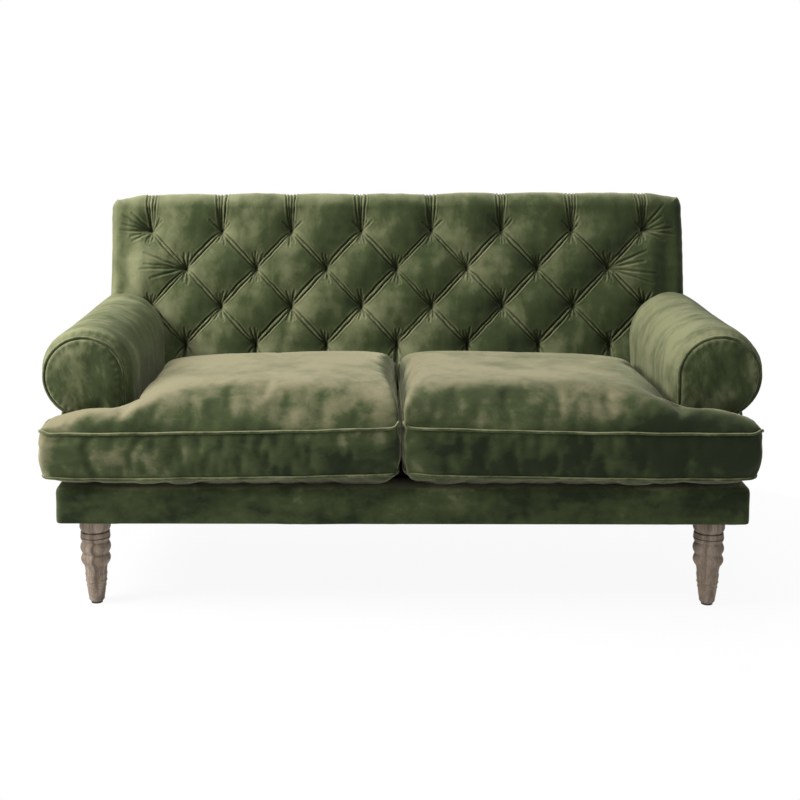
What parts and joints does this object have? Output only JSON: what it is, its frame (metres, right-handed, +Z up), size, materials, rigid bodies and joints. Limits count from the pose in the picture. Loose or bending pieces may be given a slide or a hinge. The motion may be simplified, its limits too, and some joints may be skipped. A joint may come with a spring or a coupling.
{
  "type": "two-seat sofa",
  "caption": "Two-seat scroll-arm sofa with a diamond-tufted back, two loose T-shaped seat cushions, a padded base border and turned front legs.",
  "frame": {"origin": "on the floor, under the middle of the sofa's bounding box", "axes": "+X to the right as seen from the front, +Y to the rear, +Z up; the seat faces -Y"},
  "size_m": [1.6376, 0.86, 0.8789],
  "materials": {
    "velvet": "green velvet with a strong nap",
    "frame_timber": "sawn pine",
    "leg_timber": "weathered grey-brown, matt",
    "steel": "plain",
    "jute_board": "jute and fibre board",
    "black_cloth": "thin black non-woven cloth",
    "glide_plastic": "black nylon",
    "zip_metal": "nickel"
  },
  "bodies": {
    "sofa": {"arm_facing_left": "velvet", "arm_facing_right": "velvet", "arm_facing_welt_left": "velvet", "arm_facing_welt_right": "velvet", "arm_inner_board_left": "jute_board", "arm_inner_board_right": "jute_board", "arm_outside_panel_left": "velvet", "arm_outside_panel_right": "velvet", "arm_post_left": "frame_timber", "arm_post_right": "frame_timber", "arm_roll_pad_left": "velvet", "arm_roll_pad_right": "velvet", "arm_top_rail_left": "frame_timber", "arm_top_rail_right": "frame_timber", "back_centre_post": "frame_timber", "back_lower_rail": "frame_timber", "back_pad": "velvet", "back_post_left": "frame_timber", "back_post_right": "frame_timber", "back_top_rail": "frame_timber", "back_webbing": "jute_board", "centre_seat_rail": "frame_timber", "corner_block_front_left": "frame_timber", "corner_block_front_right": "frame_timber", "corner_block_rear_left": "frame_timber", "corner_block_rear_right": "frame_timber", "dust_cover": "black_cloth", "front_border": "velvet", "front_leg_left": "leg_timber", "front_leg_right": "leg_timber", "front_seat_rail": "frame_timber", "glide_front_left": "glide_plastic", "glide_front_right": "glide_plastic", "glide_rear_left": "glide_plastic", "glide_rear_right": "glide_plastic", "leg_bolt_front_left": "steel", "leg_bolt_front_right": "steel", "leg_bolt_rear_left": "steel", "leg_bolt_rear_right": "steel", "outside_back_panel": "velvet", "rear_leg_left": "leg_timber", "rear_leg_right": "leg_timber", "rear_seat_rail": "frame_timber", "seat_deck": "velvet", "seat_spring_1": "steel", "seat_spring_2": "steel", "seat_spring_3": "steel", "seat_spring_4": "steel", "seat_spring_5": "steel", "seat_spring_6": "steel", "side_seat_rail_left": "frame_timber", "side_seat_rail_right": "frame_timber"},
    "seat_cushion_left": {"seat_cushion_left": "velvet", "cushion_top_welt_left": "velvet", "cushion_bottom_welt_left": "velvet"},
    "seat_cushion_right": {"seat_cushion_right": "velvet", "cushion_top_welt_right": "velvet", "cushion_bottom_welt_right": "velvet"},
    "zip_slider_left": {"zip_slider_left": "zip_metal"},
    "zip_slider_right": {"zip_slider_right": "zip_metal"}
  },
  "joints": [
    {"name": "lift_cushion_left", "type": "slide", "parent": "sofa", "child": "seat_cushion_left", "axis": [0, 0, 1], "range_m": [0, 0.65]},
    {"name": "zip_left", "type": "slide", "parent": "seat_cushion_left", "child": "zip_slider_left", "axis": [-1, 0, 0], "range_m": [0, 0.32]},
    {"name": "lift_cushion_right", "type": "slide", "parent": "sofa", "child": "seat_cushion_right", "axis": [0, 0, 1], "range_m": [0, 0.65]},
    {"name": "zip_right", "type": "slide", "parent": "seat_cushion_right", "child": "zip_slider_right", "axis": [1, 0, 0], "range_m": [0, 0.32]}
  ]
}
